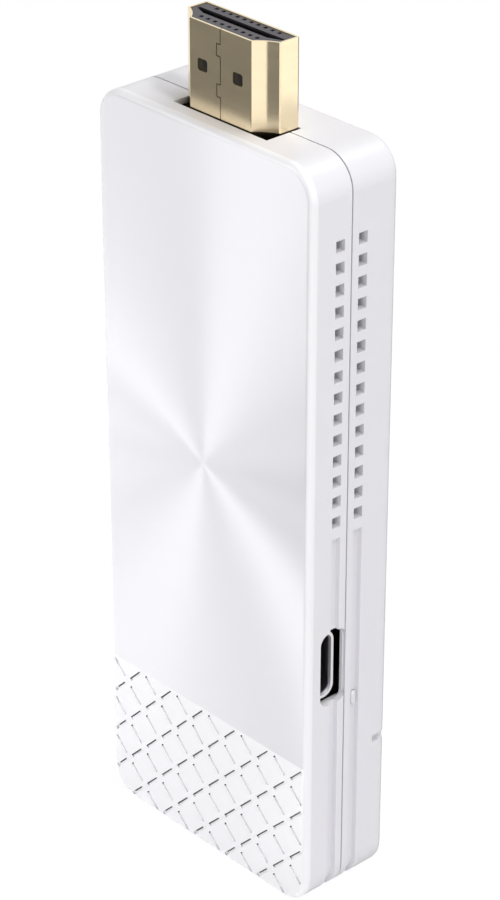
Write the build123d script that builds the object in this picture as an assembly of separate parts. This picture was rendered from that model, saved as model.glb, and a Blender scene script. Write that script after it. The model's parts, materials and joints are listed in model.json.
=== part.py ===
"""Wireless display stick: a slim two-part moulded housing on a square video plug.

The stick stands on its lower end. +Z runs to the mouth of the plug, -Y is the patterned front and
+X is the side with the power port and the reset button. The origin is on the lower end, in the
middle of the housing's width and depth. Lengths are in millimetres.
"""

import os

from build123d import *

# Housing
body_width = 32.8
body_depth = 12.0
body_height = 88.9
corner_radius = 3.7
edge_radius = 0.7
parting_y = -0.45
front_wall = 1.3
rear_wall = 1.4
side_wall = 1.5
seam_bevel = 0.08
seam_gap = 0.1
seam_depth = 0.4

# Lip and catches that hold the two shells together
lip_thickness = 0.6
lip_height = 0.8
lip_clearance = 0.05
catch_length = 5.0
catch_height = 0.22
catch_width = 0.4
catch_rows = (15.0, 41.0, 64.0)

# Locating pins between the shells
pin_x = 12.0
pin_rows = (7.5, 79.5)
pin_radius = 0.75
pin_clearance = 0.05
pin_depth = 1.6
boss_radius = 1.7

# Ribs inside the front face
rib_width = 0.8
rib_height = 0.7
rib_rows = (25.0, 43.0)

# Vents and grooves, in two lines, one each side of the parting line
vent_rows = 14
vent_pitch = 2.434
vent_top = 79.93
vent_width = 1.2
vent_height = 1.3
vent_offset = 1.58
groove_top = 46.3
groove_width = 1.22
groove_depth = 0.5
groove_draft = 0.08

# Crossed slots on the lower part of the front
weave_top = 18.65
weave_pitch_x = 2.7
weave_pitch_z = 2.65
weave_columns = 12
weave_rows = 7
weave_slot_length = 2.4
weave_slot_width = 0.38
weave_slot_depth = 0.18

# Slot for a pry tool at the rear edge
notch_z = 18.35
notch_height = 0.95
notch_width = 2.0
notch_depth = 0.5

# Video plug
plug_width = 13.9
plug_thickness = 4.45
plug_x = 0.2
plug_y = -1.3
plug_narrow_width = 9.25
plug_side = 2.65
plug_hollow = 0.2
plug_corner = 0.25
plug_reach = 9.75
plug_root = 4.3
plug_sheet = 0.25
plug_gap = 0.15
window_width = 1.47
window_height = 1.32
window_corner = 0.2
window_x = 2.65
window_rise = 5.15
fold_offset = 0.06
fold_jog = 0.55
fold_gap = 0.1
fold_tabs = ((2.43, 3.79), (6.8, 8.1))
flange_width = 16.6
flange_depth = 6.0
flange_thickness = 1.2
flange_cover = 0.7
flange_gap = 0.05
anchor_margin = 0.4
anchor_length = 3.0

# Insulator and contacts of the plug
insulator_recess = 0.1
insulator_gap = 0.03
mouth_wide = 12.7
mouth_narrow = 9.5
mouth_side = 0.35
mouth_thickness = 0.95
mouth_y = -1.03
mouth_depth = 7.0
contact_pitch = 1.04
front_contacts = 9
rear_contacts = 10
contact_width = 0.34
contact_sheet = 0.2
contact_gap = 0.06
contact_web = 0.4
contact_window = 0.44
front_reach = 1.0
rear_reach = 1.05
contact_poke = 0.12
contact_tail = 2.4

# Circuit board
board_thickness = 1.0
board_front_y = -1.5
board_clearance = 0.35
board_hole_clearance = 0.15
board_slot_clearance = 0.1

# Power port
port_z = 30.6
port_height = 8.0
port_thickness = 2.3
port_depth = 5.0
port_recess = 0.8
port_sheet = 0.35
port_corner = 1.25
port_flare = 0.12
port_flare_length = 0.4
port_leg_width = 0.8
port_leg_places = (1.9, 4.4)
tongue_height = 3.9
tongue_thickness = 0.6
tongue_offset = 0.4
tongue_recess = 0.9
tongue_base = 0.9
port_pin_count = 5
port_pin_pitch = 0.65
port_pin_width = 0.3
port_pin_sheet = 0.12
port_pin_tail = 0.9
opening_height = 9.1
opening_width = 3.57
opening_radius = 1.2
opening_rear_radius = 0.8
opening_drop = 0.25
opening_wall = 0.8
opening_relief = 0.4
opening_relief_depth = 0.9

# Reset button and its switch
reset_z = 25.0
button_shift = 0.08
button_width = 0.82
button_length = 1.75
button_bevel = 0.1
button_gap = 0.05
button_recess = 0.15
button_rest_gap = 0.1
button_travel = 0.25
flange_margin = 0.45
button_flange_thickness = 0.6
guide_clearance = 0.12
guide_wall = 0.7
switch_length = 2.8
switch_height = 2.7
switch_thickness = 2.3
switch_cover_sheet = 0.2
switch_cover_width = 2.0
plunger_width = 0.8
plunger_height = 1.3
plunger_gap = 0.05
plunger_entry = 0.9
plunger_room = 0.15

# Chips, and the processor with its cooling behind the board
chip_bevel = 0.1
chip_z = 58.0
processor_size = 14.0
processor_thickness = 1.2
pad_size = 12.0
pad_thickness = 0.5
sink_width = 22.0
sink_length = 32.0
sink_base = 1.0
sink_gap = 0.35
sink_fins = 8
sink_fin_thickness = 0.9

# Memory under its shield, in front of the board
shield_width = 23.0
shield_length = 30.0
shield_height = 1.7
shield_sheet = 0.2
shield_skirt = 1.0
shield_gap = 0.03
memory_width = 8.0
memory_length = 11.0
memory_thickness = 1.0
memory_x = -6.0
memory_pitch = 13.0
flash_width = 11.5
flash_length = 13.0
flash_thickness = 1.0
flash_x = 4.7

# Power parts, in front of the board
power_chip_size = 5.0
power_chip_thickness = 0.9
power_chip_x = 6.5
power_row_z = 39.0
inductors = 4
inductor_size = 3.0
inductor_height = 1.5
inductor_pitch = 3.9
inductor_first_x = -11.5
capacitors = 9
capacitor_length = 1.6
capacitor_width = 0.8
capacitor_pitch = 2.1
capacitor_first_x = -12.0
capacitor_z = 34.5
crystal_length = 3.2
crystal_width = 2.5
crystal_height = 0.8
crystal_x = -9.0
crystal_z = 29.5

# Radio module and antennas, at the lower end in front of the board
radio_width = 12.0
radio_length = 12.5
radio_board_thickness = 0.6
radio_shield_height = 1.4
radio_shield_inset = 0.8
radio_x = -2.0
radio_z = 17.0
antenna_length = 8.0
antenna_width = 2.2
antenna_height = 1.9
antenna_sheet = 0.3
antenna_side = 1.35
antenna_feed_pitch = 2.4
antenna_edge = 0.5

# Places worked out from the sizes above
half_width = body_width / 2
front_y = -body_depth / 2
rear_y = body_depth / 2
inner_front_y = front_y + front_wall
inner_rear_y = rear_y - rear_wall
inner_half_width = half_width - side_wall
inner_top = body_height - side_wall
front_line_y = parting_y - vent_offset
rear_line_y = parting_y + vent_offset
plug_top = body_height + plug_reach
plug_bottom = body_height - plug_root
plug_rear_y = plug_y + plug_thickness / 2
plug_front_y = plug_y - plug_thickness / 2
fold_x = plug_x + fold_offset
flange_top = body_height - flange_cover - flange_gap
flange_bottom = flange_top - flange_thickness
board_rear_y = board_front_y + board_thickness
board_half_width = inner_half_width - board_clearance
board_bottom = side_wall + board_clearance
board_top = plug_bottom - plug_gap
antenna_inner_x = board_half_width - antenna_side - antenna_length
port_mouth_x = half_width - port_recess
port_rear_y = board_front_y
port_front_y = port_rear_y - port_thickness
tongue_front_y = port_front_y + port_sheet + tongue_offset
reset_y = rear_line_y + button_shift
button_face_x = half_width - button_recess
button_flange_high = inner_half_width - button_rest_gap
button_flange_low = button_flange_high - button_flange_thickness
button_flange_width = button_width + 2 * flange_margin
button_flange_length = button_length + 2 * flange_margin
switch_face_x = button_flange_low - button_travel - guide_clearance


def block(x_span, y_span, z_span):
    """A box given by its limits along each axis."""
    spans = (x_span, y_span, z_span)
    size = [high - low for low, high in spans]
    middle = [(high + low) / 2 for low, high in spans]
    return Pos(*middle) * Box(*size)


def around(middle, width):
    """The limits of a width set evenly about a middle."""
    return (middle - width / 2, middle + width / 2)


def along_x(sketch, x_low, x_high):
    """A sketch drawn in Y and Z, extruded between two places across the width."""
    return extrude(Plane.YZ.offset(x_low) * sketch, amount=x_high - x_low)


def along_y(sketch, y_low, y_high):
    """A sketch drawn in X and Z, extruded between two depths."""
    plane = Plane(origin=(0, y_high, 0), x_dir=(1, 0, 0), z_dir=(0, -1, 0))
    return extrude(plane * sketch, amount=y_high - y_low)


def along_z(sketch, z_low, z_high):
    """A sketch drawn in X and Y, extruded between two heights."""
    return extrude(Plane.XY.offset(z_low) * sketch, amount=z_high - z_low)


def peg(x, z, radius, y_low, y_high):
    """A round post whose axis lies along Y."""
    return along_y(Pos(x, z) * Circle(radius), y_low, y_high)


def mirrored(solid):
    """A solid and its mirror image on the other side of the stick."""
    return [solid, mirror(solid, Plane.YZ)]


def housing_slab(inset, y_low, y_high):
    """The housing's outline, drawn in by an inset, as a slab between two depths."""
    outline = RectangleRounded(
        body_width - 2 * inset, body_height - 2 * inset, corner_radius - inset
    )
    return along_y(Pos(0, body_height / 2) * outline, y_low, y_high)


def shell_blank(outer_y, inner_y):
    """One half of the housing before its cut-outs: a tray with a rounded face and a bevelled seam."""
    low, high = sorted((outer_y, parting_y))
    solid = housing_slab(0, low, high)
    face_first = outer_y < parting_y
    rims = solid.edges().group_by(Axis.Y)
    solid = fillet(rims[0 if face_first else -1], edge_radius)
    rims = solid.edges().group_by(Axis.Y)
    solid = chamfer(rims[-1 if face_first else 0], seam_bevel)
    return solid - housing_slab(side_wall, *sorted((inner_y, parting_y)))


def lip_ring(extra, y_low, y_high):
    """The ring inside the parting edge, thicker than the lip by an extra."""
    return housing_slab(side_wall - lip_thickness - extra, y_low, y_high) - housing_slab(
        side_wall, y_low, y_high
    )


def catch_bars(extra):
    """The catches along both sides of the lip, larger all round by an extra."""
    lip_face_x = inner_half_width + lip_thickness
    middle_y = parting_y - lip_height / 2
    bars = []
    for z in catch_rows:
        bar = block(
            (lip_face_x - lip_thickness / 2, lip_face_x + catch_height + extra),
            around(middle_y, catch_width + 2 * extra),
            around(z, catch_length + 2 * extra),
        )
        bars += mirrored(bar)
    return bars


def vent_cuts(line_y):
    """One line of square vents through each side wall."""
    cuts = []
    for row in range(vent_rows):
        hole = block(
            (inner_half_width - edge_radius, half_width + edge_radius),
            around(line_y, vent_width),
            around(vent_top - row * vent_pitch, vent_height),
        )
        cuts += mirrored(hole)
    return cuts


def groove_cut(line_y):
    """A shallow groove down one side, across the lower end and up the other side."""
    near = line_y - groove_width / 2
    far = line_y + groove_width / 2
    inside = half_width - groove_depth
    outside = half_width + groove_depth
    outline = Polyline(
        (outside, near),
        (half_width, near),
        (inside, near + groove_draft),
        (inside, far - groove_draft),
        (half_width, far),
        (outside, far),
        close=True,
    )
    section = Pos(0, 0, groove_top) * make_face(outline)
    path = FilletPolyline(
        (half_width, line_y, groove_top),
        (half_width, line_y, 0),
        (-half_width, line_y, 0),
        (-half_width, line_y, groove_top),
        radius=corner_radius,
    )
    return sweep(section, path=path)


def inside_outline(x, z, margin):
    """Whether a point of the front lies further inside the rounded outline than a margin."""
    corner_x = max(abs(x) - (half_width - corner_radius), 0)
    corner_z = max(corner_radius - z, 0)
    return (corner_x ** 2 + corner_z ** 2) ** 0.5 < corner_radius - margin


def weave_cuts():
    """Short slots in a chequered order, every other one turned the other way."""
    slot = Rectangle(weave_slot_length, weave_slot_width)
    cuts = []
    for column in range(weave_columns):
        for row in range(weave_rows):
            x = (column - (weave_columns - 1) / 2) * weave_pitch_x
            z = weave_top - (row + 0.5) * weave_pitch_z
            turn = 45 if (column + row) % 2 else -45
            if inside_outline(x, z, edge_radius + weave_slot_width):
                placed = Pos(x, z) * Rot(0, 0, turn) * slot
                cuts.append(along_y(placed, front_y - weave_slot_depth, front_y + weave_slot_depth))
    return cuts


def plug_section(inset):
    """Section of the plug: a wide rear side and a narrower front joined by hollowed flanks."""
    half_wide = plug_width / 2
    half_narrow = plug_narrow_width / 2
    shoulder_y = plug_rear_y - plug_side
    run_x = half_wide - half_narrow
    run_y = shoulder_y - plug_front_y
    run = (run_x ** 2 + run_y ** 2) ** 0.5
    hollow_x = (half_wide + half_narrow) / 2 - plug_hollow * run_y / run
    hollow_y = (shoulder_y + plug_front_y) / 2 + plug_hollow * run_x / run
    edges = [
        Line((-half_wide, plug_rear_y), (half_wide, plug_rear_y)),
        Line((half_wide, plug_rear_y), (half_wide, shoulder_y)),
        ThreePointArc((half_wide, shoulder_y), (hollow_x, hollow_y), (half_narrow, plug_front_y)),
        Line((half_narrow, plug_front_y), (-half_narrow, plug_front_y)),
        ThreePointArc(
            (-half_narrow, plug_front_y), (-hollow_x, hollow_y), (-half_wide, shoulder_y)
        ),
        Line((-half_wide, shoulder_y), (-half_wide, plug_rear_y)),
    ]
    section = make_face(edges)
    if inset:
        return Pos(plug_x, 0) * offset(section, amount=-inset)
    return Pos(plug_x, 0) * fillet(section.vertices(), plug_corner)


def flange_block(gap, z_low, z_high):
    """The square flange at the plug's foot, larger all round by a gap."""
    return block(
        around(plug_x, flange_width + 2 * gap),
        around(plug_y, flange_depth + 2 * gap),
        (z_low, z_high),
    )


def plug_leg_places():
    """The middles of the two sheet legs under the plug, across the stick."""
    return [plug_x + side * (plug_width - plug_sheet) / 2 for side in (-1, 1)]


def plug_mouth_cuts():
    """What the plug takes out of the shells: its opening and the pocket over its flange."""
    opening = block(
        around(plug_x, plug_width + 2 * plug_gap),
        around(plug_y, plug_thickness + 2 * plug_gap),
        (inner_top - edge_radius, body_height + edge_radius),
    )
    lip_room = block(
        around(plug_x, flange_width + 2 * plug_gap),
        around(plug_y, flange_depth + 2 * plug_gap),
        (flange_bottom - plug_gap, flange_top + flange_gap),
    )
    return [opening, lip_room]


def port_opening():
    """The power port's opening, which the rear shell closes along the parting line."""
    outline = Rectangle(opening_width, opening_height)
    outline = fillet(outline.vertices().sort_by(Axis.X)[:2], opening_radius)
    outline = fillet(outline.vertices().sort_by(Axis.X)[-2:], opening_rear_radius)
    return along_x(
        Pos(parting_y - opening_width / 2, port_z - opening_drop) * outline,
        inner_half_width - edge_radius,
        half_width + edge_radius,
    )


def port_relief():
    """The pocket that thins the side wall round the power port."""
    return block(
        (inner_half_width - edge_radius, half_width - opening_wall),
        (port_front_y - opening_relief, parting_y + opening_relief_depth),
        around(port_z, opening_height + 2 * opening_relief),
    )


def front_shell():
    """The patterned front half of the housing."""
    solid = shell_blank(front_y, inner_front_y)
    rebate = lip_ring(lip_clearance, parting_y - lip_height - lip_clearance, parting_y)
    cuts = [rebate, groove_cut(front_line_y)]
    cuts += catch_bars(lip_clearance)
    cuts += vent_cuts(front_line_y)
    cuts += weave_cuts()
    cuts += plug_mouth_cuts()
    cuts += [port_opening(), port_relief()]
    posts = [
        peg(side * pin_x, z, boss_radius, inner_front_y - front_wall / 2, board_front_y)
        for side in (-1, 1)
        for z in pin_rows
    ]
    sockets = [
        peg(side * pin_x, z, pin_radius + pin_clearance, board_front_y - pin_depth, board_front_y)
        for side in (-1, 1)
        for z in pin_rows
    ]
    ribs = [
        block(
            around(0, 2 * inner_half_width + side_wall),
            (inner_front_y - front_wall / 2, inner_front_y + rib_height),
            around(z, rib_width),
        )
        for z in rib_rows
    ]
    stop = block(
        around(plug_x, plug_narrow_width),
        (inner_front_y - front_wall / 2, plug_front_y - plug_gap),
        (flange_bottom - plug_gap - rib_width, flange_bottom - plug_gap),
    )
    return solid + posts + ribs + stop - cuts - sockets


def rear_shell():
    """The plain rear half of the housing, with the lip, the pins and the button's guide."""
    solid = shell_blank(rear_y, inner_rear_y)
    lip = lip_ring(0, parting_y - lip_height, parting_y) + catch_bars(0)
    slot = along_x(
        button_outline(0), inner_half_width - edge_radius, half_width + edge_radius
    )
    lip_gap = block(
        (inner_half_width - edge_radius, half_width),
        (parting_y - lip_height, parting_y),
        around(port_z, opening_height + 2 * opening_relief),
    )
    posts = [
        peg(side * pin_x, z, boss_radius, board_rear_y, inner_rear_y + rear_wall / 2)
        + peg(side * pin_x, z, pin_radius, board_front_y - pin_depth + pin_clearance, board_rear_y)
        for side in (-1, 1)
        for z in pin_rows
    ]
    stop = block(
        around(plug_x, plug_width),
        (plug_rear_y + plug_gap, inner_rear_y + rear_wall / 2),
        (flange_bottom - plug_gap - rib_width, flange_bottom - plug_gap),
    )
    guides = [
        block(
            (switch_face_x + guide_clearance, inner_half_width + side_wall / 2),
            (board_rear_y + guide_clearance, reset_y + button_flange_width / 2),
            around(z, guide_wall),
        )
        for z in guide_rows()
    ]
    notch = block(
        (half_width - notch_depth, half_width + edge_radius),
        (rear_y - notch_width, rear_y + edge_radius),
        around(notch_z, notch_height),
    )
    seam = housing_slab(-edge_radius, parting_y, parting_y + seam_gap) - housing_slab(
        seam_depth, parting_y, parting_y + seam_gap
    )
    cuts = [groove_cut(rear_line_y), port_relief(), lip_gap, notch, slot, seam]
    cuts += vent_cuts(rear_line_y)
    cuts += plug_mouth_cuts()
    return solid + lip + posts + stop + guides - cuts


def guide_rows():
    """Heights of the two ribs that the button's flange runs between."""
    reach = button_flange_length / 2 + guide_clearance + guide_wall / 2
    return (reset_z - reach, reset_z + reach)


def button_outline(gap):
    """Outline of the reset button's slot, drawn in all round by a gap."""
    width = button_width - 2 * gap
    return Pos(reset_y, reset_z) * SlotOverall(button_length - 2 * gap, width, rotation=90)


def plug_shell():
    """Folded sheet tube with a dovetailed fold, latch windows, a foot flange and two board legs."""
    bore = plug_section(plug_sheet)
    tube = along_z(plug_section(0) - bore, plug_bottom, plug_top)
    flange = flange_block(0, flange_bottom, flange_top) - along_z(bore, flange_bottom, flange_top)
    legs = [
        block(
            around(x, plug_sheet),
            (board_front_y - anchor_margin, board_rear_y + anchor_margin),
            (plug_bottom - anchor_length, plug_bottom + plug_sheet),
        )
        for x in plug_leg_places()
    ]
    window = Rectangle(window_width, window_height)
    window = chamfer(window.vertices(), window_corner)
    cuts = [
        along_y(
            Pos(plug_x + side * window_x, body_height + window_rise) * window,
            *around(face_y, 3 * plug_sheet),
        )
        for side in (-1, 1)
        for face_y in (plug_front_y, plug_rear_y)
    ]
    fold = [(fold_x, plug_top + plug_sheet)]
    for low, high in reversed(fold_tabs):
        for x, rise in ((fold_x, high), (fold_x - fold_jog, high), (fold_x - fold_jog, low), (fold_x, low)):
            fold.append((x, body_height + rise))
    fold.append((fold_x, body_height - flange_cover / 2))
    seam = along_y(
        trace(Polyline(*fold), fold_gap), plug_front_y - plug_sheet, plug_front_y + 2 * plug_sheet
    )
    return tube + flange + legs - cuts - seam


def contact_rows():
    """For each row of contacts: its side, its count, its channel's end and the board face it meets."""
    front_end = mouth_y - mouth_thickness / 2 - front_reach
    rear_end = mouth_y + mouth_thickness / 2 + rear_reach
    return (
        (-1, front_contacts, front_end, board_front_y),
        (1, rear_contacts, rear_end, board_rear_y),
    )


def contact_places(count):
    """Places of a row's contacts across the plug."""
    return [plug_x + (index - (count - 1) / 2) * contact_pitch for index in range(count)]


def plug_insulator():
    """Moulded core of the plug, with the mouth for the socket's tongue and a channel per contact."""
    top = plug_top - insulator_recess
    floor = top - mouth_depth
    core = along_z(plug_section(plug_sheet + insulator_gap), plug_bottom, top)
    rear = mouth_y + mouth_thickness / 2
    front = mouth_y - mouth_thickness / 2
    mouth_outline = make_face(
        Polyline(
            (-mouth_wide / 2, rear),
            (mouth_wide / 2, rear),
            (mouth_wide / 2, rear - mouth_side),
            (mouth_narrow / 2, front),
            (-mouth_narrow / 2, front),
            (-mouth_wide / 2, rear - mouth_side),
            close=True,
        )
    )
    cuts = [along_z(Pos(plug_x, 0) * mouth_outline, floor, plug_top)]
    for side, count, end_y, board_y in contact_rows():
        window_y = end_y - side * contact_window
        for x in contact_places(count):
            x_span = around(x, contact_width + 2 * contact_gap)
            cuts += [
                block(x_span, sorted((end_y, mouth_y)), (floor, top - contact_web)),
                block(x_span, sorted((end_y, board_y)), (plug_bottom, floor)),
                block(x_span, sorted((end_y, window_y)), (top - contact_web, top)),
            ]
    return core - cuts


def plug_contacts(row):
    """One row of sprung contacts, from the mouth down to the tails that lie on the board."""
    side, count, end_y, board_y = contact_rows()[row]
    top = plug_top - insulator_recess
    floor = top - mouth_depth
    seat_y = board_y + side * contact_sheet / 2
    away_y = end_y - side * (contact_gap + contact_sheet / 2)
    crest_y = mouth_y + side * (mouth_thickness / 2 - contact_poke)
    tip_z = top - contact_web - contact_gap
    line = Polyline(
        (seat_y, plug_bottom - contact_tail),
        (seat_y, floor - contact_sheet),
        (away_y, floor + mouth_depth / 5),
        (crest_y, tip_z - mouth_depth / 4),
        (away_y, tip_z),
    )
    strip = trace(line, contact_sheet)
    return Compound(
        [
            along_x(strip, x - contact_width / 2, x + contact_width / 2)
            for x in contact_places(count)
        ]
    )


def port_legs(extra):
    """The legs that hold the power port in the board, larger all round by an extra."""
    leg_z = (port_height - port_sheet) / 2
    return [
        block(
            around(port_mouth_x - place, port_leg_width + 2 * extra),
            (port_rear_y - port_corner - port_sheet, board_rear_y),
            around(port_z + side * leg_z, port_sheet + 2 * extra),
        )
        for place in port_leg_places
        for side in (-1, 1)
    ]


def main_board():
    """The circuit board, with its pin holes and the slots for the plug's and the port's legs."""
    corner = corner_radius - side_wall - board_clearance
    outline = RectangleRounded(2 * board_half_width, board_top - board_bottom, corner)
    placed = Pos(0, (board_top + board_bottom) / 2) * outline
    solid = along_y(placed, board_front_y, board_rear_y)
    cuts = [
        peg(side * pin_x, z, pin_radius + board_hole_clearance, board_front_y, board_rear_y)
        for side in (-1, 1)
        for z in pin_rows
    ]
    cuts += [
        block(
            around(x, plug_sheet + 2 * board_slot_clearance),
            (board_front_y, board_rear_y),
            (plug_bottom - anchor_length - board_slot_clearance, plug_bottom),
        )
        for x in plug_leg_places()
    ]
    cuts += port_legs(board_slot_clearance)
    return solid - cuts


def port_section(inset):
    """Section of the power port: square towards the front, rounded towards the board."""
    section = Pos((port_front_y + port_rear_y) / 2, port_z) * Rectangle(
        port_thickness - 2 * inset, port_height - 2 * inset
    )
    board_side = section.vertices().group_by(Axis.X)[-1]
    section = fillet(board_side, port_corner - inset)
    front_side = section.vertices().group_by(Axis.X)[0]
    return fillet(front_side, port_sheet + port_flare - inset)


def port_tube(inset):
    """The port's body with its flared mouth, drawn in all round by an inset."""
    mouth_start = port_mouth_x - port_flare_length
    straight = along_x(port_section(inset), port_mouth_x - port_depth, mouth_start)
    flare = loft(
        [
            Plane.YZ.offset(mouth_start) * port_section(inset),
            Plane.YZ.offset(port_mouth_x) * port_section(inset - port_flare),
        ]
    )
    return straight + flare


def port_shell():
    """The port's metal shell on its four legs."""
    bore = along_x(port_section(port_sheet), port_mouth_x - port_depth, port_mouth_x)
    return port_tube(0) - port_tube(port_sheet) + port_legs(0) - bore


def port_pins():
    """The port's contacts: flat on the tongue, through its base and down onto the board."""
    tongue_y = tongue_front_y + tongue_thickness + port_pin_sheet / 2
    seat_y = board_front_y - port_pin_sheet / 2
    back_x = port_mouth_x - port_depth - port_pin_width
    line = Polyline(
        (port_mouth_x - tongue_recess - port_pin_width, tongue_y),
        (back_x, tongue_y),
        (back_x, seat_y),
        (back_x - port_pin_tail, seat_y),
    )
    strip = trace(line, port_pin_sheet)
    low = port_z - (port_pin_count - 1) / 2 * port_pin_pitch
    return Compound(
        [
            along_z(strip, *around(low + index * port_pin_pitch, port_pin_width))
            for index in range(port_pin_count)
        ]
    )


def port_tongue():
    """The port's moulded base and the tongue that carries its contacts."""
    back_x = port_mouth_x - port_depth
    base = along_x(port_section(port_sheet + insulator_gap), back_x, back_x + tongue_base)
    tongue = block(
        (back_x, port_mouth_x - tongue_recess),
        (tongue_front_y, tongue_front_y + tongue_thickness),
        around(port_z, tongue_height),
    )
    return base + tongue - port_pins().solids()


def reset_button():
    """The white button: a bevelled head that stands in the groove and a flange that keeps it in."""
    stem = along_x(button_outline(button_gap), button_flange_high, button_face_x)
    stem = chamfer(stem.faces().sort_by(Axis.X)[-1].edges(), button_bevel)
    flange = block(
        (button_flange_low, button_flange_high),
        around(reset_y, button_flange_width),
        around(reset_z, button_flange_length),
    )
    return stem + flange


def plunger_bar(gap, low_x, high_x):
    """The switch's plunger, or with a gap the hole it runs in."""
    return block(
        (low_x, high_x),
        around(reset_y, plunger_width + 2 * gap),
        around(reset_z, plunger_height + 2 * gap),
    )


def reset_plunger():
    """The plunger between the button's flange and the inside of the switch."""
    return plunger_bar(0, switch_face_x - plunger_entry, button_flange_low)


def switch_case():
    """The switch's moulded case, soldered behind the board."""
    case = block(
        (switch_face_x - switch_length, switch_face_x),
        (board_rear_y, board_rear_y + switch_thickness),
        around(reset_z, switch_height),
    )
    hole_depth = plunger_entry + button_travel + plunger_room
    return case - plunger_bar(plunger_gap, switch_face_x - hole_depth, switch_face_x)


def switch_cover():
    """The sheet cover over the switch, with a tab down each side to the board."""
    top_y = board_rear_y + switch_thickness
    outer = block(
        around(switch_face_x - switch_length / 2, switch_cover_width),
        (board_rear_y, top_y + switch_cover_sheet),
        around(reset_z, switch_height + 2 * switch_cover_sheet),
    )
    inner = block(
        around(switch_face_x - switch_length / 2, switch_cover_width),
        (board_rear_y, top_y),
        around(reset_z, switch_height),
    )
    return outer - inner


def chip(x, z, width, length, thickness, side=-1):
    """A moulded chip lying on the board, with a bevelled upper edge."""
    face_y = board_front_y if side < 0 else board_rear_y
    solid = block(
        around(x, width), sorted((face_y, face_y + side * thickness)), around(z, length)
    )
    upper = solid.faces().sort_by(Axis.Y)[0 if side < 0 else -1]
    return chamfer(upper.edges(), chip_bevel)


def processor():
    """The processor: a thin carrier and a smaller moulded cap."""
    carrier = block(
        around(0, processor_size),
        (board_rear_y, board_rear_y + processor_thickness / 2),
        around(chip_z, processor_size),
    )
    cap = block(
        around(0, pad_size),
        (board_rear_y + processor_thickness / 2, board_rear_y + processor_thickness),
        around(chip_z, pad_size),
    )
    return carrier + cap


def thermal_pad():
    """The soft pad that fills the space between the processor and the heat sink."""
    low = board_rear_y + processor_thickness
    return block(around(0, pad_size), (low, low + pad_thickness), around(chip_z, pad_size))


def heat_sink():
    """The finned plate that lies on the pad, with its fins towards the rear wall."""
    low = board_rear_y + processor_thickness + pad_thickness
    plate = block(around(0, sink_width), (low, low + sink_base), around(chip_z, sink_length))
    pitch = (sink_width - sink_fin_thickness) / (sink_fins - 1)
    fins = [
        block(
            around((index - (sink_fins - 1) / 2) * pitch, sink_fin_thickness),
            (low + sink_base, inner_rear_y - sink_gap),
            around(chip_z, sink_length),
        )
        for index in range(sink_fins)
    ]
    return plate + fins


def shield_ring(outside, y_low, y_high):
    """A thin rectangular wall round the memory, set outwards by a distance."""
    outer = block(
        around(0, shield_width + 2 * outside),
        (y_low, y_high),
        around(chip_z, shield_length + 2 * outside),
    )
    inner = block(
        around(0, shield_width + 2 * (outside - shield_sheet)),
        (y_low, y_high),
        around(chip_z, shield_length + 2 * (outside - shield_sheet)),
    )
    return outer - inner


def shield_fence():
    """The wall that is soldered to the board round the memory."""
    return shield_ring(0, board_front_y - shield_height, board_front_y)


def shield_cover():
    """The lid that is pressed over the wall."""
    top_y = board_front_y - shield_height
    reach = shield_gap + shield_sheet
    lid = block(
        around(0, shield_width + 2 * reach),
        (top_y - shield_sheet, top_y),
        around(chip_z, shield_length + 2 * reach),
    )
    return lid + shield_ring(reach, top_y, top_y + shield_skirt)


def memory_chips():
    """The two memory chips under the shield."""
    return Compound(
        [
            chip(memory_x, chip_z + side * memory_pitch / 2, memory_width, memory_length, memory_thickness)
            for side in (-1, 1)
        ]
    )


def power_inductors():
    """The row of square moulded inductors."""
    places = [inductor_first_x + index * inductor_pitch for index in range(inductors)]
    return Compound(
        [chip(x, power_row_z, inductor_size, inductor_size, inductor_height) for x in places]
    )


def capacitor_row():
    """The row of small capacitors."""
    return Compound(
        [
            block(
                around(capacitor_first_x + index * capacitor_pitch, capacitor_width),
                (board_front_y - capacitor_width, board_front_y),
                around(capacitor_z, capacitor_length),
            )
            for index in range(capacitors)
        ]
    )


def radio_board():
    """The radio module's own small board."""
    return block(
        around(radio_x, radio_width),
        (board_front_y - radio_board_thickness, board_front_y),
        around(radio_z, radio_length),
    )


def radio_shield():
    """The drawn can over the radio module."""
    foot_y = board_front_y - radio_board_thickness
    inner_inset = radio_shield_inset + shield_sheet
    can = block(
        around(radio_x, radio_width - 2 * radio_shield_inset),
        (foot_y - radio_shield_height, foot_y),
        around(radio_z, radio_length - 2 * radio_shield_inset),
    )
    hollow = block(
        around(radio_x, radio_width - 2 * inner_inset),
        (foot_y - radio_shield_height + shield_sheet, foot_y),
        around(radio_z, radio_length - 2 * inner_inset),
    )
    return can - hollow


def antenna():
    """A stamped antenna: a raised arm along the board's lower edge on two feet."""
    arm_y = board_front_y - antenna_height
    arm = Polyline(
        (antenna_inner_x, board_front_y),
        (antenna_inner_x, arm_y),
        (antenna_inner_x + antenna_length, arm_y),
    )
    foot_x = antenna_inner_x + antenna_feed_pitch
    low = board_bottom + antenna_edge
    bent = along_z(trace(arm, antenna_sheet), low, low + antenna_width)
    foot = block(around(foot_x, antenna_sheet), (arm_y, board_front_y), (low, low + antenna_width))
    return bent + foot


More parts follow.
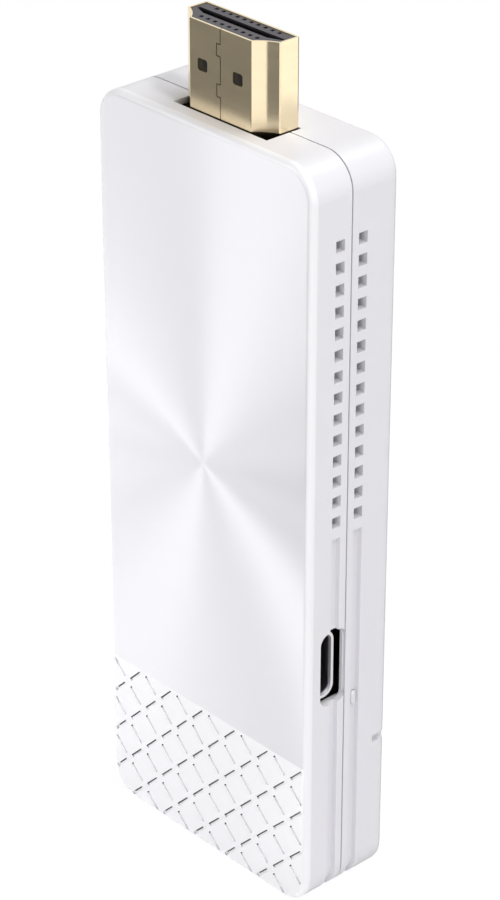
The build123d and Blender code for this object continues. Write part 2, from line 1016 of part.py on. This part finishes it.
NODES = {
    "front_shell": front_shell,
    "rear_shell": rear_shell,
    "plug_shell": plug_shell,
    "plug_insulator": plug_insulator,
    "plug_contacts_front": lambda: plug_contacts(0),
    "plug_contacts_rear": lambda: plug_contacts(1),
    "main_board": main_board,
    "port_shell": port_shell,
    "port_tongue": port_tongue,
    "port_contacts": port_pins,
    "reset_button": reset_button,
    "reset_plunger": reset_plunger,
    "switch_case": switch_case,
    "switch_cover": switch_cover,
    "processor": processor,
    "thermal_pad": thermal_pad,
    "heat_sink": heat_sink,
    "shield_fence": shield_fence,
    "shield_cover": shield_cover,
    "memory_chips": memory_chips,
    "flash_chip": lambda: chip(flash_x, chip_z, flash_width, flash_length, flash_thickness),
    "power_chip": lambda: chip(
        power_chip_x, power_row_z, power_chip_size, power_chip_size, power_chip_thickness
    ),
    "power_inductors": power_inductors,
    "capacitor_row": capacitor_row,
    "crystal": lambda: chip(crystal_x, crystal_z, crystal_length, crystal_width, crystal_height),
    "radio_board": radio_board,
    "radio_shield": radio_shield,
    "antenna_right": antenna,
    "antenna_left": lambda: mirror(antenna(), Plane.YZ),
}


os.makedirs("parts", exist_ok=True)
for name, make in NODES.items():
    export_step(make(), os.path.join("parts", name + ".step"))
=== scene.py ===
"""Looks of the wireless display stick: spun and moulded plastics, gilt and plated sheet, boards."""

import json
import math

import bmesh
import bpy
from mathutils import Matrix, Vector

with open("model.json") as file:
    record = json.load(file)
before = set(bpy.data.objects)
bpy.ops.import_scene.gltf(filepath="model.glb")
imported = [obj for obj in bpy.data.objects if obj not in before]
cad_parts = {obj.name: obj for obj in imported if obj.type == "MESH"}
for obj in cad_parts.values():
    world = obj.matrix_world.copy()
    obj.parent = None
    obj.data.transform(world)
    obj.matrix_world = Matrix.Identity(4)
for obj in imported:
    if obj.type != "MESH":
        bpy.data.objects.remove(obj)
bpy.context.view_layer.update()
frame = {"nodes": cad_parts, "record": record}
nodes = frame["nodes"]
scene = bpy.context.scene
MM = 0.001

# Places on the object, from the part's sizes
FACE_Y = -6.0 * MM
EDGE_ROUND_Y = FACE_Y + 0.9 * MM
SPUN_CENTRE = (0.0, 0.0, 50.2 * MM)
SPUN_FOOT = 18.65 * MM
SLOT_PITCH_X, SLOT_PITCH_Z = 2.7 * MM, 2.65 * MM
SLOT_COLUMNS_LEFT = 6.0
SLOT_DEPTH = 0.3 * MM
SLOTS_LOWEST, SLOTS_WIDEST = 0.95 * MM, 15.4 * MM
PORT_LIP_X = 15.35 * MM
PLUG_FACE_Z = 98.4 * MM
PLUG_FOOT_Z = 89.08 * MM
HOUSING = (16.4 * MM, 6.0 * MM, 44.45 * MM)
WALL = 1.3 * MM
NOOK = 1.2 * MM

# What the lamps and cards stand round
RINGS = (0.0, FACE_Y, SPUN_CENTRE[2])
MIDDLE = (0.0, 0.0, 45 * MM)
PLUG_MIDDLE = (0.0, 0.0, 94 * MM)

WHITE = (1.0, 1.0, 1.0, 1.0)
WHITE_ABS = "#e3e2e6"
# Clouds of colour about 11 mm across
CLOUDS_PER_METRE = 90.0
# The width over which one colour turns to the next, and what counts as behind the front face
SOFT = 0.1 * MM
JUST_BEHIND = 0.02 * MM
# How far up and left of a slot's middle its painted dark begins
SHADE_ALL_ALONG, SHADE_AT_THE_END = 0.04 * MM, 1.05 * MM


def shade(code):
    """A colour written as an sRGB hex value, in the linear values that Blender works with."""
    parts = [int(code[i : i + 2], 16) / 255 for i in (1, 3, 5)]
    return tuple(p / 12.92 if p <= 0.04045 else ((p + 0.055) / 1.055) ** 2.4 for p in parts) + (1.0,)


def add(tree, kind, settings=None, **inputs):
    """Adds a node, with its settings and what goes into its sockets: values, or other nodes' outputs.
    A name such as _6 counts sockets from 0. A colour Mix has its two colours in 6 and 7, and output 2."""
    node = tree.nodes.new(kind)
    for name, value in (settings or {}).items():
        setattr(node, name, value)
    for name, value in inputs.items():
        socket = node.inputs[int(name[1:]) if name[1:].isdigit() else name.replace("_", " ")]
        if isinstance(value, bpy.types.NodeSocket):
            tree.links.new(value, socket)
        else:
            socket.default_value = value
    return node


def new_material(name):
    """An empty node material and its tree."""
    material = bpy.data.materials.new(name)
    material.use_nodes = True
    material.node_tree.nodes.clear()
    return material, material.node_tree


def surface(tree, shader):
    """Joins a shader to the material's output."""
    add(tree, "ShaderNodeOutputMaterial", Surface=shader.outputs[0])


def grain(tree, size_mm, depth_mm, stretch=(1, 1, 1)):
    """A fine bump whose grains are about size_mm across and depth_mm deep."""
    place = add(tree, "ShaderNodeTexCoord").outputs["Object"]
    scaled = add(tree, "ShaderNodeMapping", Vector=place, Scale=stretch)
    noise = add(
        tree, "ShaderNodeTexNoise", Vector=scaled.outputs[0], Scale=1 / (size_mm * MM), Detail=2.0
    )
    return add(tree, "ShaderNodeBump", Height=noise.outputs["Fac"], Distance=depth_mm * MM, Strength=1.0)


def clouded(tree, code, tint, scale, stretch=(1, 1, 1)):
    """A colour with faint clouds of a slightly darker one, and the clouds' own value."""
    place = add(tree, "ShaderNodeTexCoord").outputs["Object"]
    scaled = add(tree, "ShaderNodeMapping", Vector=place, Scale=stretch)
    cloud = add(tree, "ShaderNodeTexNoise", Vector=scaled.outputs[0], Scale=scale, Detail=3.0)
    colour = shade(code)
    darker = tuple(c * (1 - tint) for c in colour[:3]) + (1.0,)
    mixed = add(
        tree,
        "ShaderNodeMix",
        {"data_type": "RGBA"},
        Factor=cloud.outputs["Fac"],
        _6=colour,
        _7=darker,
    )
    return mixed.outputs[2], cloud.outputs["Fac"]


def varied(tree, value, amount, cloud):
    """A roughness that rises and falls a little with the clouds."""
    low, high = value * (1 - amount), value * (1 + amount)
    return add(tree, "ShaderNodeMapRange", Value=cloud, To_Min=low, To_Max=high).outputs[0]


def changed_below(tree, colour, axis, level, code):
    """A colour that turns to another one below a level along an axis."""
    place = add(tree, "ShaderNodeTexCoord").outputs["Object"]
    split = add(tree, "ShaderNodeSeparateXYZ", Vector=place)
    below = add(
        tree,
        "ShaderNodeMapRange",
        Value=split.outputs[axis],
        From_Min=level - SOFT,
        From_Max=level,
        To_Min=1.0,
        To_Max=0.0,
    )
    mixed = add(
        tree,
        "ShaderNodeMix",
        {"data_type": "RGBA"},
        Factor=below.outputs[0],
        _6=colour,
        _7=shade(code),
    )
    return mixed.outputs[2]


def painted_nook_shade(tree, colour):
    """A shell's colour, a little greyer in its grooves and slots: painted shade, which these soft lamps
    don't leave there."""
    # Painted shade: grey where walls stand close round a point
    nook = add(tree, "ShaderNodeAmbientOcclusion", {"samples": 8}, Distance=NOOK)
    mixed = add(
        tree,
        "ShaderNodeMix",
        {"data_type": "RGBA"},
        Factor=nook.outputs["AO"],
        _6=shade("#d8d7db"),
        _7=colour,
    )
    return mixed.outputs[2]


def painted_shade_behind_wall(tree, colour):
    """A shell's colour that turns black behind the wall: painted shade, which makes the gap round the port
    dark. The coat is a guess, made so that the gap round the port looks as dark as in the photograph."""
    place = add(tree, "ShaderNodeTexCoord").outputs["Object"]
    centred = add(
        tree, "ShaderNodeVectorMath", {"operation": "SUBTRACT"}, _0=place, _1=(0.0, 0.0, HOUSING[2])
    )
    apart = add(tree, "ShaderNodeVectorMath", {"operation": "ABSOLUTE"}, _0=centred.outputs[0])
    depths = add(tree, "ShaderNodeVectorMath", {"operation": "SUBTRACT"}, _0=HOUSING, _1=apart.outputs[0])
    split = add(tree, "ShaderNodeSeparateXYZ", Vector=depths.outputs[0])
    least = split.outputs[0]
    for depth in split.outputs[1:]:
        least = add(tree, "ShaderNodeMath", {"operation": "MINIMUM"}, _0=least, _1=depth).outputs[0]
    behind = add(tree, "ShaderNodeMapRange", Value=least, From_Min=WALL, From_Max=WALL + SOFT)
    # Painted shade: black behind the wall
    mixed = add(
        tree,
        "ShaderNodeMix",
        {"data_type": "RGBA"},
        Factor=behind.outputs[0],
        _6=colour,
        _7=shade("#0c0c0e"),
    )
    return mixed.outputs[2]


def moulded(name, code, roughness, size_mm, depth_mm, inner=None, shell=False):
    """A moulded plastic: even colour with faint clouding, and a fine eroded grain from its mould.
    The inner values are the axis, level and colour of its inside, where that colour is painted shade
    because little light reaches it."""
    material, tree = new_material(name)
    colour, cloud = clouded(tree, code, 0.03, CLOUDS_PER_METRE)
    if inner:
        colour = changed_below(tree, colour, *inner)
    # A shell also gets painted shade in its nooks and behind its wall
    if shell:
        colour = painted_shade_behind_wall(tree, painted_nook_shade(tree, colour))
    shader = add(
        tree,
        "ShaderNodeBsdfPrincipled",
        Base_Color=colour,
        Roughness=varied(tree, roughness, 0.08, cloud),
        IOR=1.52,
        Normal=grain(tree, size_mm, depth_mm).outputs[0],
    )
    surface(tree, shader)
    return material


def plated(name, code, roughness, size_mm, depth_mm, stretch=(1, 1, 1), inner=None, drawn=0.0):
    """A plated or plain metal sheet: its colour with slight variation and the marks of its rolling.
    A drawn one has fine marks round the tube, which smear what it mirrors along its height."""
    material, tree = new_material(name)
    colour, cloud = clouded(tree, code, 0.07, 1 / (size_mm * MM * 6), stretch)
    # Painted shade below the inner level, where little light reaches
    if inner:
        colour = changed_below(tree, colour, *inner)
    upwards = add(tree, "ShaderNodeCombineXYZ", X=0.0, Y=0.0, Z=1.0)
    shader = add(
        tree,
        "ShaderNodeBsdfPrincipled",
        Base_Color=colour,
        Metallic=1.0,
        Roughness=varied(tree, roughness, 0.2, cloud),
        Anisotropic=drawn,
        Tangent=upwards.outputs[0],
        Normal=grain(tree, size_mm, depth_mm, stretch).outputs[0],
    )
    surface(tree, shader)
    return material


def slot_floor(tree, place):
    """The colour in the crossed slots: painted shade along their upper left, and painted light elsewhere.
    Slots leaning right are dark all along, the others at their upper end only. Both are painted, so they
    stay the same under other light."""
    cells = add(
        tree,
        "ShaderNodeVectorMath",
        {"operation": "MULTIPLY_ADD"},
        _0=place,
        _1=(1 / SLOT_PITCH_X, 0.0, -1 / SLOT_PITCH_Z),
        _2=(SLOT_COLUMNS_LEFT, 0.0, SPUN_FOOT / SLOT_PITCH_Z),
    )
    whole = add(tree, "ShaderNodeVectorMath", {"operation": "FLOOR"}, _0=cells.outputs[0])
    order = add(
        tree, "ShaderNodeVectorMath", {"operation": "DOT_PRODUCT"}, _0=whole.outputs[0], _1=(1.0, 0.0, 1.0)
    )
    lean = add(tree, "ShaderNodeMath", {"operation": "MODULO"}, _0=order.outputs["Value"], _1=2.0)
    part = add(tree, "ShaderNodeVectorMath", {"operation": "FRACTION"}, _0=cells.outputs[0])
    from_middle = add(
        tree, "ShaderNodeVectorMath", {"operation": "SUBTRACT"}, _0=(0.5, 0.0, 0.5), _1=part.outputs[0]
    )
    slant = (SLOT_PITCH_X * math.sqrt(0.5), 0.0, SLOT_PITCH_Z * math.sqrt(0.5))
    upper_left = add(
        tree, "ShaderNodeVectorMath", {"operation": "DOT_PRODUCT"}, _0=from_middle.outputs[0], _1=slant
    )
    start = add(
        tree,
        "ShaderNodeMapRange",
        Value=lean.outputs[0],
        To_Min=SHADE_AT_THE_END,
        To_Max=SHADE_ALL_ALONG,
    )
    # Where the painted shade begins in each slot
    painted_shade_mask = add(
        tree,
        "ShaderNodeMath",
        {"operation": "GREATER_THAN"},
        _0=upper_left.outputs["Value"],
        _1=start.outputs[0],
    )
    # Painted shade in the slots' upper left, painted light in the rest
    mixed = add(
        tree,
        "ShaderNodeMix",
        {"data_type": "RGBA"},
        Factor=painted_shade_mask.outputs[0],
        _6=shade("#f6f5f8"),
        _7=shade("#47464b"),
    )
    return mixed.outputs[2]


def slotted(tree, place, colour):
    """The shell's colour, with the slots' painted light and shade behind the flat of the foot, as deep as
    they are cut.
    """
    split = add(tree, "ShaderNodeSeparateXYZ", Vector=place)
    apart = add(tree, "ShaderNodeMath", {"operation": "ABSOLUTE"}, _0=split.outputs[0])
    cut = None
    for operation, value, limit in (
        ("GREATER_THAN", split.outputs[1], FACE_Y + JUST_BEHIND),
        ("LESS_THAN", split.outputs[1], FACE_Y + SLOT_DEPTH),
        ("LESS_THAN", split.outputs[2], SPUN_FOOT),
        ("GREATER_THAN", split.outputs[2], SLOTS_LOWEST),
        ("LESS_THAN", apart.outputs[0], SLOTS_WIDEST),
    ):
        side = add(tree, "ShaderNodeMath", {"operation": operation}, _0=value, _1=limit).outputs[0]
        if cut:
            side = add(tree, "ShaderNodeMath", {"operation": "MULTIPLY"}, _0=cut, _1=side).outputs[0]
        cut = side
    mixed = add(
        tree,
        "ShaderNodeMix",
        {"data_type": "RGBA"},
        Factor=cut,
        _6=colour,
        _7=slot_floor(tree, place),
    )
    return mixed.outputs[2]


def spun_rings(tree, place):
    """The face, whose mould was spun with a fine tool: its rings throw the light in cones."""
    centred = add(tree, "ShaderNodeVectorMath", {"operation": "SUBTRACT"}, _0=place, _1=SPUN_CENTRE)
    flat = add(
        tree, "ShaderNodeVectorMath", {"operation": "MULTIPLY"}, _0=centred.outputs[0], _1=(1.0, 0.0, 1.0)
    )
    outwards = add(tree, "ShaderNodeVectorMath", {"operation": "NORMALIZE"}, _0=flat.outputs[0])
    radius = add(tree, "ShaderNodeVectorMath", {"operation": "LENGTH"}, _0=flat.outputs[0])
    # Tool rings about 0.12 mm apart, uneven in depth; drawn twice as coarse as real ones to show
    rings = add(
        tree,
        "ShaderNodeTexNoise",
        {"noise_dimensions": "1D"},
        W=radius.outputs["Value"],
        Scale=1 / (0.24 * MM),
        Detail=3.0,
        Roughness=0.6,
    )
    ring_bump = add(
        tree, "ShaderNodeBump", Height=rings.outputs["Fac"], Distance=0.004 * MM, Strength=0.35
    )
    return add(
        tree,
        "ShaderNodeBsdfPrincipled",
        Base_Color=shade("#dedde1"),
        Metallic=0.2,
        Roughness=0.45,
        IOR=1.55,
        Anisotropic=1.0,
        Tangent=outwards.outputs[0],
        Normal=ring_bump.outputs[0],
    )


def plain_sides(tree, place):
    """The rest of the front shell, with a fine grain. Its foot and rounded front edge are painted a little
    whiter than the sides: a painted highlight that stands in for the edge's shine."""
    # Painted highlight: whiter in front of the rounded edge, foot included
    painted_edge_highlight = changed_below(tree, shade(WHITE_ABS), 1, EDGE_ROUND_Y, "#f1f0f3")
    return add(
        tree,
        "ShaderNodeBsdfPrincipled",
        Base_Color=slotted(tree, place, painted_shade_behind_wall(tree, painted_nook_shade(tree, painted_edge_highlight))),
        Roughness=0.3,
        IOR=1.5,
        Normal=grain(tree, 0.12, 0.0015).outputs[0],
    )


def spun_front():
    """Front shell: ABS under a clear pearl lacquer, with spun rings on the face above the foot."""
    material, tree = new_material("spun_pearl_abs")
    place = add(tree, "ShaderNodeTexCoord").outputs["Object"]
    split = add(tree, "ShaderNodeSeparateXYZ", Vector=place)
    height = add(tree, "ShaderNodeMath", {"operation": "GREATER_THAN"}, _0=split.outputs[2], _1=SPUN_FOOT)
    front = add(
        tree,
        "ShaderNodeMapRange",
        Value=split.outputs[1],
        From_Min=FACE_Y + JUST_BEHIND,
        From_Max=FACE_Y + 3 * JUST_BEHIND,
        To_Min=1.0,
        To_Max=0.0,
    )
    on_face = add(
        tree, "ShaderNodeMath", {"operation": "MULTIPLY"}, _0=height.outputs[0], _1=front.outputs[0]
    )
    mixed = add(
        tree,
        "ShaderNodeMixShader",
        Fac=on_face.outputs[0],
        _1=plain_sides(tree, place).outputs[0],
        _2=spun_rings(tree, place).outputs[0],
    )
    surface(tree, mixed)
    return material


FINISHES = {
    "front_plastic": spun_front(),
    # ABS from a finely eroded mould: white with a soft even sheen, and painted shade in its nooks and
    # behind its wall
    "rear_plastic": moulded("satin_abs", WHITE_ABS, 0.3, 0.12, 0.0015, shell=True),
    # Thin pale gilding on a folded and drawn tube: it mirrors the room in soft upright bands, and has
    # painted shade below its foot
    "plug_gold": plated(
        "pale_gilt_sheet",
        "#f3e2bf",
        0.2,
        0.15,
        0.0005,
        stretch=(0.15, 0.15, 1),
        inner=(2, PLUG_FOOT_Z, "#3a3427"),
        drawn=0.95,
    ),
    # Liquid crystal polymer with short glass fibre: a dull black written as dark grey, with painted shade
    # in its mouth
    "insulator_plastic": moulded(
        "black_lcp", "#403d42", 0.5, 0.08, 0.003, inner=(2, PLUG_FACE_Z, "#080606")
    ),
    # Hard gilding on sprung bronze: small warm glints, and brown painted shade inside the mouth
    "contact_gold": plated(
        "hard_gilt_contact", "#e9cf8c", 0.2, 0.08, 0.001, inner=(2, PLUG_FACE_Z, "#4a4030")
    ),
    # Solder resist over woven glass: black, with a slightly wavy gloss
    "board_laminate": moulded("black_solder_resist", "#101112", 0.35, 0.3, 0.004),
    # Dull nickel on steel: a pale rim round the port, and grey painted shade inside it
    "port_steel": plated(
        "nickel_plated_sheet", "#eeedf0", 0.35, 0.1, 0.001, inner=(0, PORT_LIP_X, "#8a888e")
    ),
    # Nylon with carbon black, written lighter than real because little light gets into the port
    "port_plastic": moulded("black_nylon", "#6c6a70", 0.5, 0.08, 0.003),
    # The shells' ABS from a smoother mould: the same white, a little duller, with the same painted shade
    "button_plastic": moulded("button_abs", WHITE_ABS, 0.35, 0.1, 0.001, shell=True),
    # Polyester with glass fibre: dull and nearly black
    "switch_plastic": moulded("black_pbt", "#26262a", 0.5, 0.08, 0.003),
    # Stainless spring sheet as rolled: cool grey and fairly bright
    "switch_steel": plated("stainless_spring_sheet", "#c9c9cc", 0.28, 0.1, 0.001),
    # Epoxy filled with fine sand: dark grey and matt
    "chip_epoxy": moulded("dark_moulding_compound", "#2a2a2d", 0.6, 0.05, 0.004),
    # Filled silicone: pale blue, soft and matt
    "pad_silicone": moulded("blue_gap_pad", "#8fa6bf", 0.75, 0.3, 0.01),
    # Extruded aluminium: pale grey, with faint marks along its length from the die
    "sink_aluminium": plated("extruded_aluminium", "#c8cacd", 0.35, 0.1, 0.002, (1, 1, 0.1)),
    # Tin on steel: bright grey with faint clouds
    "shield_steel": plated("tinned_sheet", "#d2d2d0", 0.3, 0.2, 0.002),
    # Pressed iron powder: dark grey and finely pitted
    "inductor_ferrite": moulded("pressed_iron_powder", "#4b4b4f", 0.7, 0.06, 0.006),
    # Fired ceramic: light brown and smooth
    "capacitor_ceramic": moulded("fired_ceramic", "#b08a62", 0.4, 0.05, 0.002),
    # Solder resist over woven glass: deep blue, with a slightly wavy gloss
    "radio_laminate": moulded("blue_solder_resist", "#1a3f74", 0.3, 0.3, 0.004),
    # Tin on spring steel: bright and a little warm
    "antenna_steel": plated("tinned_spring_sheet", "#d0cdc4", 0.3, 0.2, 0.002),
}
for row in frame["record"]["subparts"]:
    mesh = nodes[row["node"]].data
    mesh.materials.clear()
    mesh.materials.append(FINISHES[row["material_slot"]])


def facing(place, target):
    """A placing that stands at a point and looks at another."""
    away = (Vector(place) - Vector(target)).normalized()
    return Matrix.Translation(place) @ away.to_track_quat("Z", "Y").to_matrix().to_4x4()


def compass(azimuth, elevation, distance, start=(0.0, 0.0, 0.0)):
    """The point at a distance from another: azimuth from straight ahead to the right, both in degrees."""
    a, e = math.radians(azimuth), math.radians(elevation)
    away = Vector((math.sin(a) * math.cos(e), -math.cos(a) * math.cos(e), math.sin(e)))
    return Vector(start) + distance * away


def softbox(name, place, target, width, height, watts):
    """A rectangular white studio lamp that the camera doesn't see."""
    data = bpy.data.lights.new(name, "AREA")
    data.shape = "RECTANGLE"
    data.size, data.size_y = width, height
    data.energy = watts
    lamp = bpy.data.objects.new(name, data)
    scene.collection.objects.link(lamp)
    lamp.matrix_world = facing(place, target)
    lamp.visible_camera = False
    return lamp


def panel(name, place, target, width, height, material):
    """A flat studio card."""
    build = bmesh.new()
    bmesh.ops.create_grid(build, x_segments=1, y_segments=1, size=0.5)
    bmesh.ops.scale(build, vec=(width, height, 1.0), verts=build.verts)
    bmesh.ops.transform(build, matrix=facing(place, target), verts=build.verts)
    mesh = bpy.data.meshes.new(name)
    build.to_mesh(mesh)
    build.free()
    card = bpy.data.objects.new(name, mesh)
    scene.collection.objects.link(card)
    mesh.materials.append(material)
    return card


def white_floor():
    """Matt white board under the object. The camera sees it nearly even, with a trace of shadow."""
    material, tree = new_material("matt_white_board")
    path = add(tree, "ShaderNodeLightPath")
    card = add(tree, "ShaderNodeBsdfDiffuse", Color=shade("#e9e9ea"))
    trace = add(tree, "ShaderNodeBsdfDiffuse", Color=(0.10, 0.10, 0.10, 1.0))
    glow = add(tree, "ShaderNodeEmission", Color=WHITE, Strength=0.94)
    seen = add(tree, "ShaderNodeAddShader", _0=trace.outputs[0], _1=glow.outputs[0])
    both = add(
        tree,
        "ShaderNodeMixShader",
        Fac=path.outputs["Is Camera Ray"],
        _1=card.outputs[0],
        _2=seen.outputs[0],
    )
    surface(tree, both)
    floor = panel("floor", (0, 0, 0), (0, 0, -1), 3.0, 3.0, material)
    floor.visible_shadow = False
    floor.visible_glossy = False


def grey_flags():
    """Two upright cards in an even grey of their own, like lit felt, which the polished sheet mirrors
    as its dark faces. They show in gloss alone, as no real card does."""
    material, tree = new_material("grey_felt_card")
    surface(tree, add(tree, "ShaderNodeEmission", Color=WHITE, Strength=0.18))
    elevation, distance, height = -43, 0.575, 0.67
    for name, azimuth, width in (("front_flag", -24, 1.02), ("rear_flag", 186, 0.9)):
        place = compass(azimuth, elevation, distance, PLUG_MIDDLE)
        flag = panel(name, place, (0.0, 0.0, place[2]), width, height, material)
        flag.visible_camera = False
        flag.visible_diffuse = False
        flag.visible_shadow = False
        flag.visible_transmission = False


def group(name, members):
    """A named group of nodes, for a lamp that lights them alone."""
    collection = bpy.data.collections.new(name)
    for member in members:
        collection.objects.link(nodes[member])
    return collection


def ring_lamps(housing):
    """Small lamps for the rings' cones and the front edge's shine. They light the housing alone, so
    that the polished plug doesn't mirror them, and three of them show in its gloss only. The ring
    lamps' places and powers began as a computed fit to the photograph's brightness."""
    for name, azimuth, elevation, distance, side, watts, matt_too in (
        ("ring_lamp_near", -33.6, -16.2, 0.140, 0.054, 0.037, True),
        ("ring_lamp_below", -10.5, -54.6, 0.080, 0.027, 0.007, False),
        ("ring_lamp_ahead", -5.5, 24.7, 0.278, 0.050, 0.049, True),
        ("ring_lamp_above", -26.8, 37.0, 0.113, 0.060, 0.040, False),
        ("ring_lamp_left", -60.1, -22.8, 0.390, 0.108, 0.249, False),
    ):
        lamp = softbox(name, compass(azimuth, elevation, distance, RINGS), RINGS, side, side, watts)
        lamp.light_linking.receiver_collection = housing
        lamp.visible_diffuse = matt_too
    lamp = softbox("edge_lamp", compass(42, -28, 0.5, MIDDLE), MIDDLE, 0.12, 0.12, 0.25)
    lamp.light_linking.receiver_collection = housing


def soft_keys():
    """Two keys that nothing mirrors: a near one at the left, from which the face falls off to the
    right, and one from ahead to the right, which leaves the grooves of the side in half shade."""
    for name, azimuth, elevation, distance, side, watts in (
        ("left_key", -54, -5, 0.119, 0.05, 0.054),
        ("right_key", 25, 5, 0.6, 0.15, 0.36),
    ):
        lamp = softbox(name, compass(azimuth, elevation, distance, MIDDLE), MIDDLE, side, side, watts)
        lamp.visible_glossy = False


def plug_lamps(plug_sheet):
    """Two upright lamps that only the plug's sheet mirrors, on its side and its flank."""
    elevation, distance = -24, 0.49
    for name, azimuth, width, height, watts in (
        ("plug_side_lamp", 130, 0.25, 0.3, 0.09),
        ("plug_flank_lamp", 45, 0.30, 0.5, 0.11),
    ):
        place = compass(azimuth, elevation, distance, PLUG_MIDDLE)
        lamp = softbox(name, place, (0.0, 0.0, place[2]), width, height, watts)
        lamp.light_linking.receiver_collection = plug_sheet


def white_room():
    """The room, which lights the object evenly and is white to the camera, in gloss and through glass."""
    world = bpy.data.worlds.new("white_room")
    scene.world = world
    world.use_nodes = True
    tree = world.node_tree
    tree.nodes.clear()
    path = add(tree, "ShaderNodeLightPath")
    seen = path.outputs["Is Camera Ray"]
    for kind in ("Is Glossy Ray", "Is Transmission Ray"):
        other = path.outputs[kind]
        seen = add(tree, "ShaderNodeMath", {"operation": "MAXIMUM"}, _0=seen, _1=other).outputs[0]
    room = add(tree, "ShaderNodeBackground", Color=WHITE, Strength=0.18)
    white = add(tree, "ShaderNodeBackground", Color=WHITE, Strength=1.0)
    both = add(tree, "ShaderNodeMixShader", Fac=seen, _1=room.outputs[0], _2=white.outputs[0])
    add(tree, "ShaderNodeOutputWorld", Surface=both.outputs[0])


def photo_camera():
    """The photograph's own viewpoint, from the fit of its corners and edges."""
    place = (0.209211, -0.189833, 0.203147)
    azimuth, elevation = 47.67, 28.53
    back = compass(azimuth, elevation, 1.0)
    right = compass(azimuth + 90, 0.0, 1.0)
    data = bpy.data.cameras.new("photo_camera")
    data.lens = 118.906
    data.sensor_width = 36.0
    data.clip_start, data.clip_end = 0.01, 10.0
    camera = bpy.data.objects.new("photo_camera", data)
    scene.collection.objects.link(camera)
    turn = Matrix((right, back.cross(right), back)).transposed().to_4x4()
    camera.matrix_world = Matrix.Translation(place) @ turn
    scene.camera = camera


white_floor()
grey_flags()
ring_lamps(group("housing", ("front_shell", "rear_shell", "reset_button")))
soft_keys()
plug_lamps(group("plug_sheet", ("plug_shell",)))
# Lamps for the whole object: high at the right, at the port's side and overhead
softbox("high_lamp", compass(85, 57.4, 0.6, RINGS), RINGS, 0.07, 0.07, 1.0)
softbox("side_lamp", compass(68, 14, 0.5, MIDDLE), MIDDLE, 0.2, 0.2, 0.55)
softbox("top_lamp", (0.10, 0.15, 0.52), MIDDLE, 0.32, 0.32, 1.45)
white_room()
scene.view_settings.view_transform = "Standard"
photo_camera()
